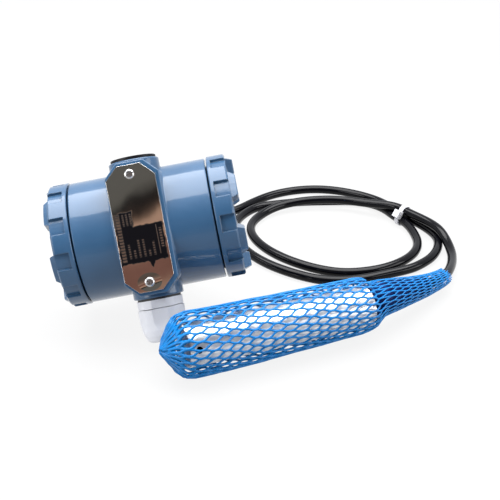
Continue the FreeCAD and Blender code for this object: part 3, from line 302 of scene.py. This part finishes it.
def plastic(name, color, rough, spec=0.5, grain=600.0, strength=0.05, sss=0.0):
    m, nt, b = material(name)
    v = coords(nt)
    tone = noise_tex(nt, v, 45.0, 3.0)
    lo = tuple(c * 0.93 for c in color)
    hi = tuple(min(1.0, c * 1.05) for c in color)
    link(nt, ramp(nt, tone, [(0.3, lo), (0.7, hi)]), b.inputs["Base Color"])
    b.inputs["Roughness"].default_value = rough
    b.inputs["Specular IOR Level"].default_value = spec
    if sss:
        b.inputs["Subsurface Weight"].default_value = sss
        b.inputs["Subsurface Radius"].default_value = (0.002, 0.002, 0.002)
        b.inputs["Subsurface Scale"].default_value = 1.0
    g = noise_tex(nt, v, grain, 2.0)
    bump(nt, b, g, strength, 0.0003)
    return m


MAT = {
    "blue_paint": blue_paint(),
    "plate_steel": plate_steel(),
    "bright_steel": metal("bright_screw", (0.46, 0.46, 0.47), 0.26),
    "black_plastic": plastic("black_nylon", (0.004, 0.004, 0.006), 0.38, 0.14),
    "black_rubber": plastic("black_seal", (0.010, 0.010, 0.011), 0.55, 0.4),
    "white_nylon": plastic("pale_nylon", (0.52, 0.53, 0.57), 0.40, 0.4, 900.0, 0.03, 0.15),
    "grey_plastic": plastic("grey_moulding", (0.10, 0.11, 0.12), 0.45),
    "brass_screw": metal("plated_brass", (0.78, 0.62, 0.32), 0.22),
    "green_board": plastic("solder_mask", (0.015, 0.12, 0.045), 0.30),
    "probe_steel": metal("turned_steel", (0.84, 0.835, 0.83), 0.30, None, 0.06),
    "net_blue": plastic("net_polyethylene", (0.001, 0.124, 0.360), 0.34, 0.20, 700.0, 0.02, 0.0),
    "cable_jacket": plastic("cable_pu", (0.0012, 0.0012, 0.0022), 0.13, 0.15, 1200.0, 0.02),
    # painted shade: near-black navy for the widened cable boot that fills the net's shaded tail
    "boot_navy": plastic("boot_rubber_tail_shade", (0.0012, 0.0120, 0.0800), 0.60, 0.08, 900.0, 0.03),
    "tie_white": plastic("tie_nylon", (0.50, 0.50, 0.53), 0.35, 0.5),
}
NOSE_MAT = nose_steel()
for sp in frame["record"]["subparts"]:
    o = nodes.get(sp["node"])
    if o is None:
        continue
    o.data.materials.clear()
    o.data.materials.append(NOSE_MAT if sp["node"] == "nose_cap" else MAT[sp["material_slot"]])


def mesh_piece(name, verts, faces, mat, smooth=True, body=ROOT):
    me = bpy.data.meshes.new(name)
    me.from_pydata([tuple(v) for v in verts], [], faces)
    me.update()
    if smooth:
        for p in me.polygons:
            p.use_smooth = True
    ob = bpy.data.objects.new(name, me)
    me.materials.append(MAT[mat])
    scene.collection.objects.link(ob)
    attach(ob, body)
    return ob


# ------------------------------------------------------------------ cable: one spline through the route's points
ROUTE = [
    (-0.07362, 0.09447, 0.01386), (-0.07362, 0.10517, 0.00864), (-0.07305, 0.11454, 0.0056), (-0.07065, 0.12334, 0.0042), (-0.06595, 0.13164, 0.0037),
    (-0.05845, 0.13854, 0.00362), (-0.04855, 0.14464, 0.0036), (-0.03705, 0.14954, 0.0036), (-0.02555, 0.15554, 0.0036), (-0.01465, 0.16494, 0.0036),
    (-0.00277, 0.18006, 0.0036), (0.01164, 0.19447, 0.0036), (0.02902, 0.2044, 0.0036), (0.0479, 0.20887, 0.0036), (0.06678, 0.20689, 0.0036),
    (0.08565, 0.19844, 0.0036), (0.10155, 0.18553, 0.004), (0.11248, 0.16913, 0.0046), (0.12092, 0.15165, 0.0049), (0.12917, 0.13794, 0.0047),
    (0.1399, 0.12194, 0.0038), (0.14387, 0.10555, 0.0036), (0.14089, 0.08866, 0.0036), (0.13394, 0.07326, 0.0036), (0.1239, 0.06134, 0.0036),
    (0.11447, 0.05339, 0.0036), (0.09559, 0.04495, 0.0036), (0.0787, 0.03749, 0.0036), (0.06181, 0.03352, 0.0036), (0.04393, 0.036, 0.0036),
    (0.02604, 0.04594, 0.0036), (0.00816, 0.06035, 0.0036), (-0.00674, 0.07972, 0.0036), (-0.01668, 0.10356, 0.0036), (-0.01916, 0.1284, 0.0036),
    (-0.01419, 0.14926, 0.0036), (-0.00078, 0.16913, 0.0036), (0.01909, 0.17559, 0.0036), (0.03896, 0.18056, 0.0036), (0.06131, 0.18155, 0.0036),
    (0.08317, 0.18106, 0.004), (0.09907, 0.1741, 0.0042), (0.10801, 0.16268, 0.0046), (0.11397, 0.14738, 0.0049), (0.12241, 0.13386, 0.0047),
    (0.12599, 0.11648, 0.004), (0.12698, 0.09959, 0.0036), (0.12261, 0.0823, 0.0036), (0.11168, 0.0668, 0.0036), (0.09658, 0.05488, 0.0036),
    (0.07969, 0.04842, 0.0036), (0.06181, 0.04644, 0.0036), (0.04194, 0.05389, 0.0036), (0.02207, 0.06879, 0.0036), (0.00617, 0.08767, 0.0036),
    (-0.00426, 0.11052, 0.0036), (-0.00575, 0.13237, 0.0036), (0.0027, 0.15175, 0.004), (0.0176, 0.16566, 0.0062), (0.03797, 0.17261, 0.0078),
    (0.05982, 0.1741, 0.0086), (0.07671, 0.17162, 0.0086), (0.09062, 0.16516, 0.0092), (0.10105, 0.1597, 0.0104), (0.1095, 0.15522, 0.0115),
    (0.11735, 0.14946, 0.01175), (0.12172, 0.14281, 0.01175), (0.12635, 0.13624, 0.0117), (0.13355, 0.12714, 0.0115), (0.13965, 0.11834, 0.0113),
    (0.14515, 0.10634, 0.0109), (0.14865, 0.09284, 0.0072), (0.14965, 0.07784, 0.0046), (0.14685, 0.06134, 0.0056), (0.14205, 0.04484, 0.0079),
    (0.13685, 0.03214, 0.0096), (0.13095, 0.02374, 0.0108), (0.12185, 0.01354, 0.0123), (0.11185, 0.00014, 0.0144), (0.10185, -0.01326, 0.0169),
    (0.09199, -0.02256, 0.01865), (0.08111, -0.02761, 0.0189),
]
CABLE_R = 0.0036
cu = bpy.data.curves.new("cable", "CURVE")
cu.dimensions = "3D"
cu.resolution_u = 8
cu.bevel_depth = CABLE_R
cu.bevel_resolution = 5
cu.use_fill_caps = True
sp = cu.splines.new("NURBS")
sp.points.add(len(ROUTE) - 1)
for p, c in zip(sp.points, ROUTE):
    p.co = (*c, 1.0)
sp.order_u = 3
sp.use_endpoint_u = True
cable = bpy.data.objects.new("cable", cu)
cu.materials.append(MAT["cable_jacket"])
scene.collection.objects.link(cable)
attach(cable, ROOT)
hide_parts("cable_lead", "cable_coil", "cable_tail")

# ------------------------------------------------------------------ tie round the three strands
TIE = Vector((0.12135, 0.14254, 0.0))
T_DIR = Vector((0.52, -0.85, 0.0)).normalized()
T_SIDE = Vector((-T_DIR.y, T_DIR.x, 0.0))
T_UP = Vector((0, 0, 1))


def tie_mesh():
    circles = [(-0.0037, 0.0048), (0.0043, 0.0048), (0.0005, 0.0117)]
    pts = []
    for cx, cz in circles:
        for i in range(48):
            a = 2 * math.pi * i / 48
            pts.append((cx + math.cos(a) * (CABLE_R + 0.0001), cz + math.sin(a) * (CABLE_R + 0.0001)))
    pts = sorted(set(pts))

    def half(seq):
        out = []
        for p in seq:
            while len(out) >= 2 and (out[-1][0] - out[-2][0]) * (p[1] - out[-2][1]) - (out[-1][1] - out[-2][1]) * (p[0] - out[-2][0]) <= 0:
                out.pop()
            out.append(p)
        return out
    hull = half(pts)[:-1] + half(pts[::-1])[:-1]
    verts, faces = [], []
    k = len(hull)
    w, t = 0.0046, 0.0011
    prof = [(-w / 2, 0.0), (-w / 2, t * 0.8), (-w / 2 + 0.0004, t), (w / 2 - 0.0004, t), (w / 2, t * 0.8), (w / 2, 0.0)]
    for i in range(k):
        a, c = hull[i - 1], hull[(i + 1) % k]
        tx, tz = c[0] - a[0], c[1] - a[1]
        ln = math.hypot(tx, tz)
        nx, nz = tz / ln, -tx / ln
        for dx, dn in prof:
            verts.append(TIE + T_SIDE * (hull[i][0] + nx * dn) + T_UP * (hull[i][1] + nz * dn) + T_DIR * dx)
    q = len(prof)
    for i in range(k):
        for j in range(q):
            faces.append((i * q + j, i * q + (j + 1) % q, ((i + 1) % k) * q + (j + 1) % q, ((i + 1) % k) * q + j))
    # head block
    def block(c, hx, hy, hz, lean=0.0):
        base = len(verts)
        rot = Matrix.Rotation(lean, 3, T_DIR)
        for sx in (-1, 1):
            for sy in (-1, 1):
                for sz in (-1, 1):
                    verts.append(TIE + T_SIDE * c[0] + T_UP * c[1] + rot @ (T_DIR * (sx * hx) + T_SIDE * (sy * hy) + T_UP * (sz * hz)))
        for f in ((0, 1, 3, 2), (4, 6, 7, 5), (0, 4, 5, 1), (2, 3, 7, 6), (0, 2, 6, 4), (1, 5, 7, 3)):
            faces.append(tuple(base + i for i in f))
    block((-0.0069, 0.0104), 0.0033, 0.0024, 0.0031, math.radians(-32))
    return verts, faces


tv, tf = tie_mesh()
tie = mesh_piece("cable_tie_strap", tv, tf, "tie_white", smooth=False)
bv = tie.modifiers.new("edge", "BEVEL")
bv.width = 0.0006
bv.segments = 3
bv.limit_method = "ANGLE"
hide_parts("cable_tie")

# ------------------------------------------------------------------ net sleeve of crossed strands
SHIFT = Vector((SX, SY, 0.0))
NOSE = Vector((-41.9, 539.25, 21.8)) + SHIFT
REARP = Vector((84.6, 598.0, 18.95)) + SHIFT
PX = (REARP - NOSE).normalized()
LAST = 131.0
STRAND = 0.66
PROFILE = [(-14.5, 1.6), (-13.2, 4.4), (-9.4, 10.4), (-5.2, 16.2), (-1.6, 20.0), (5.0, 21.5), (45.0, 20.8), (95.0, 19.8), (124.0, 19.2), (130.5, 18.4),
           (134.0, 15.8), (138.0, 13.8), (147.0, 12.9), (159.6, 11.6), (176.1, 9.9), (200.4, 7.9), (213.8, 7.0), (221.2, 6.8)]
RISE = [(40.0, 0.0), (131.0, 1.9), (160.0, 1.2), (200.0, 0.0)]
TAILC = [NOSE + PX * 121.0, NOSE + PX * LAST] + [Vector(c) + SHIFT for c in (
    (85.7, 599.9, 20.3), (99.4, 611.7, 18.2), (111.1, 623.0, 15.6), (127.9, 640.3, 12.4), (136.7, 650.3, 10.8), (140.9, 656.3, 9.95))]
STATION = [121.0, LAST]
for c0, c1 in zip(TAILC[1:], TAILC[2:]):
    STATION.append(STATION[-1] + (c1 - c0).length)


def lerp_table(tab, x):
    if x <= tab[0][0]:
        return tab[0][1]
    for (x0, y0), (x1, y1) in zip(tab, tab[1:]):
        if x <= x1:
            return y0 + (y1 - y0) * (x - x0) / (x1 - x0)
    return tab[-1][1]


def axis_at(x):
    if x <= LAST:
        return NOSE + PX * x, PX
    k = 1
    while k < len(TAILC) - 2 and x > STATION[k + 1]:
        k += 1
    h = STATION[k + 1] - STATION[k]
    t = (x - STATION[k]) / h
    m0 = (TAILC[k + 1] - TAILC[k - 1]) / (STATION[k + 1] - STATION[k - 1])
    far = min(k + 2, len(TAILC) - 1)
    m1 = (TAILC[far] - TAILC[k]) / (STATION[far] - STATION[k])
    a, b = TAILC[k], TAILC[k + 1]
    p = a * (2 * t ** 3 - 3 * t * t + 1) + m0 * (h * (t ** 3 - 2 * t * t + t)) + b * (3 * t * t - 2 * t ** 3) + m1 * (h * (t ** 3 - t * t))
    d = a * (6 * t * t - 6 * t) + m0 * (h * (3 * t * t - 4 * t + 1)) + b * (6 * t - 6 * t * t) + m1 * (h * (3 * t * t - 2 * t))
    return p, d.normalized()


def meridian(step):
    """Even steps along the sleeve's outline: (x along the axis, radius, distance along)."""
    fine = []
    x = PROFILE[0][0]
    dist = 0.0
    px, pr = x, lerp_table(PROFILE, x)
    while x < PROFILE[-1][0]:
        x += 0.1
        r = lerp_table(PROFILE, x)
        dist += math.hypot(x - px, r - pr)
        px, pr = x, r
        fine.append((x, r, dist))
    out, nxt = [], 0.0
    for row in fine:
        if row[2] >= nxt:
            out.append(row)
            nxt += step
    return out


def net_mesh():
    rnd = random.Random(7)
    count = 26
    share = (-0.40, 0.60)
    knot = 0.86
    rows = meridian(0.80)
    total = rows[-1][2]
    step = 2 * math.pi / count
    verts, faces = [], []
    sides = 5
    # cells grow longer as the sleeve narrows
    turns, t, last = [], 0.0, 0.0
    for x, r, m in rows:
        wide = 0.92 * 2 * math.pi * r / count
        t += (m - last) / math.sqrt(max(16.0, 8.9 * 8.9 - wide * wide))
        last = m
        turns.append(t)
    for family in (0, 1):
        for j in range(count):
            end = total - rnd.uniform(0.0, 7.5)
            base = step * j
            line = []
            for (x, r, m), t in zip(rows, turns):
                if m > end:
                    break
                w0 = noise.noise(Vector((x * 0.030, 4.0, 1.0))) * 0.35
                tt = t + w0 + 0.42
                th = base + share[family] * step * (tt - knot * math.sin(2 * math.pi * tt) / (2 * math.pi))
                c, s = math.cos(th), math.sin(th)
                slip = noise.noise(Vector((c * 1.7, s * 1.7, m * 0.045)))
                slip2 = noise.noise(Vector((c * 1.9 + 9.0, s * 1.9, m * 0.060)))
                th += 0.050 * slip
                ax, tan = axis_at(x + 0.9 * slip2)
                ax = ax + Vector((0, 0, lerp_table(RISE, x)))
                up = Vector((0, 0, 1))
                u = tan.cross(up).normalized()
                w = u.cross(tan)
                rr = r - STRAND - 0.12 + 0.28 * slip2 * min(1.0, r / 16.0)
                rad = u * math.cos(th) + w * math.sin(th)
                pos = ax + rad * rr
                if pos.z < STRAND:
                    pos.z = STRAND
                line.append((pos, rad, 1.0 + 0.75 * max(0.0, min(1.0, (3.0 - x) / 9.0)), STRAND * (1.0 - 0.40 * max(0.0, min(1.0, (x - 126.0) / 16.0)))))
            for i, (pos, nrm, fat, thick) in enumerate(line):
                a = line[max(0, i - 1)][0]
                b = line[min(len(line) - 1, i + 1)][0]
                tan = (b - a).normalized()
                bi = tan.cross(nrm).normalized()
                for k in range(sides):
                    q = 2 * math.pi * k / sides
                    verts.append((pos + (nrm * math.cos(q) * 1.0 + bi * math.sin(q) * 1.15 * fat) * thick) * 0.001)
            start = len(verts) - len(line) * sides
            for i in range(len(line) - 1):
                for k in range(sides):
                    a = start + i * sides + k
                    b = start + i * sides + (k + 1) % sides
                    faces.append((a, b, b + sides, a + sides))
            faces.append(tuple(start + k for k in range(sides - 1, -1, -1)))
            tip = start + (len(line) - 1) * sides
            faces.append(tuple(tip + k for k in range(sides)))
    return verts, faces


nv, nf = net_mesh()
net = mesh_piece("net_strands", nv, nf, "net_blue")
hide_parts("mesh_sleeve")


def boot_and_tail_shade_mesh():
    """Soft dark boot over the cable's end inside the net, open at both ends; it is widened to fill the net's tail and
    stands in as painted shade inside the net.
    """
    out = [(133.6, 10.4), (138.0, 11.2), (147.0, 10.9), (159.6, 9.7), (172.0, 8.4), (184.0, 7.0), (192.0, 6.2), (193.0, 5.7)]
    ins = [(192.6, 5.0), (184.0, 5.9), (172.0, 7.3), (159.6, 8.6), (147.0, 9.8), (138.0, 10.1), (133.6, 9.9)]
    seg = 40
    verts, faces = [], []
    for x, r in out + ins:
        c, tan = axis_at(x)
        c = c + Vector((0, 0, lerp_table(RISE, x)))
        u = tan.cross(Vector((0, 0, 1))).normalized()
        w = u.cross(tan)
        for i in range(seg):
            a = 2 * math.pi * i / seg
            verts.append((c + (u * math.cos(a) + w * math.sin(a)) * r) * 0.001)
    m = len(out) + len(ins)
    for k in range(m):
        for i in range(seg):
            j = (i + 1) % seg
            faces.append((k * seg + i, k * seg + j, ((k + 1) % m) * seg + j, ((k + 1) % m) * seg + i))
    return verts, faces


kv, kf = boot_and_tail_shade_mesh()
boot_and_tail_shade = mesh_piece("cable_end_boot_tail_shade", kv, kf, "boot_navy")
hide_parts("cable_boot")

# ------------------------------------------------------------------ stage and light
floor_me = bpy.data.meshes.new("floor")
floor_me.from_pydata([(-6, -4, 0), (6, -4, 0), (6, 8, 0), (-6, 8, 0)], [], [(0, 1, 2, 3)])
floor = bpy.data.objects.new("floor", floor_me)
fm, fnt, fb = material("pale_floor")
fb.inputs["Base Color"].default_value = (0.032, 0.032, 0.032, 1)
fb.inputs["Roughness"].default_value = 0.7
fb.inputs["Specular IOR Level"].default_value = 0.2
fb.inputs["Emission Color"].default_value = (1.0, 1.0, 1.0, 1)
fb.inputs["Emission Strength"].default_value = 0.87
floor_me.materials.append(fm)
scene.collection.objects.link(floor)

world = bpy.data.worlds.new("studio")
scene.world = world
world.use_nodes = True
wt = world.node_tree
bg = wt.nodes["Background"]
tcw = add(wt, "ShaderNodeTexCoord")
sep = add(wt, "ShaderNodeSeparateXYZ")
link(wt, tcw.outputs["Generated"], sep.inputs["Vector"])
dx, dy, dz = sep.outputs["X"], sep.outputs["Y"], sep.outputs["Z"]
front = add(wt, "ShaderNodeMapRange")
front.interpolation_type = "SMOOTHSTEP"
front.inputs["From Min"].default_value = 0.20
front.inputs["From Max"].default_value = -0.25
link(wt, dy, front.inputs["Value"])
low = add(wt, "ShaderNodeMapRange")
low.interpolation_type = "SMOOTHSTEP"
low.inputs["From Min"].default_value = 0.86
low.inputs["From Max"].default_value = 0.70
link(wt, dz, low.inputs["Value"])
dim = math_node(wt, "MULTIPLY", front.outputs["Result"], low.outputs["Result"])
shade = math_node(wt, "MULTIPLY", window(wt, dz, 0.15, 0.66, 0.05), window(wt, dx, -0.34, 0.90, 0.08))
shade = math_node(wt, "MULTIPLY", shade, front.outputs["Result"])
# the room behind the camera: grey above, a dark band, warm wood below
slope = math_node(wt, "MULTIPLY", dx, -0.57)
wob = None
for scale, amount in (((16.0, 16.0, 16.0), 0.030), ((420.0, 60.0, 60.0), 0.012)):
    mp = add(wt, "ShaderNodeMapping")
    mp.inputs["Scale"].default_value = scale
    link(wt, tcw.outputs["Generated"], mp.inputs["Vector"])
    wn = add(wt, "ShaderNodeTexNoise")
    wn.inputs["Scale"].default_value = 1.0
    wn.inputs["Detail"].default_value = 2.0
    link(wt, mp.outputs["Vector"], wn.inputs["Vector"])
    w1 = math_node(wt, "MULTIPLY", math_node(wt, "SUBTRACT", wn.outputs["Fac"], 0.5), amount)
    wob = w1 if wob is None else math_node(wt, "ADD", wob, w1)
height = math_node(wt, "ADD", math_node(wt, "ADD", dz, slope), wob)
room = ramp(wt, height, [(0.0, (0.15, 0.135, 0.125)), (0.36, (0.10, 0.078, 0.065)), (0.430, (0.20, 0.13, 0.10)), (0.452, (0.33, 0.205, 0.150)), (0.466, (0.19, 0.092, 0.072)),
                         (0.484, (0.20, 0.098, 0.076)), (0.500, (0.40, 0.25, 0.18)), (0.519, (0.45, 0.285, 0.205)), (0.526, (0.014, 0.012, 0.012)), (0.540, (0.016, 0.015, 0.015)), (0.547, (0.118, 0.115, 0.104)), (0.70, (0.13, 0.13, 0.125))])
sky = mix(wt, dim, (0.95, 0.97, 1.0), (0.45, 0.46, 0.48))
sky = mix(wt, shade, sky, room)
link(wt, sky, bg.inputs["Color"])
bg.inputs["Strength"].default_value = 1.0


def area(name, loc, target, size, size_y, power, color=(1, 1, 1)):
    l = bpy.data.lights.new(name, "AREA")
    l.shape = "RECTANGLE"
    l.size = size
    l.size_y = size_y
    l.energy = power
    l.color = color
    o = bpy.data.objects.new(name, l)
    o.location = loc
    o.rotation_euler = (Vector(target) - Vector(loc)).to_track_quat("-Z", "Y").to_euler()
    scene.collection.objects.link(o)
    return o


area("top_box", (-0.05, 0.235, 1.02), (-0.05, 0.235, 0.0), 1.6, 1.13, 50.0)
area("left_box", (-0.86, -0.46, 0.34), (-0.05, 0.0, 0.05), 0.7, 0.6, 7.5)
area("right_box", (0.98, -0.26, 0.30), (0.0, 0.0, 0.05), 0.7, 0.6, 7.0)

scene.view_settings.view_transform = "Standard"
scene.view_settings.look = "None"
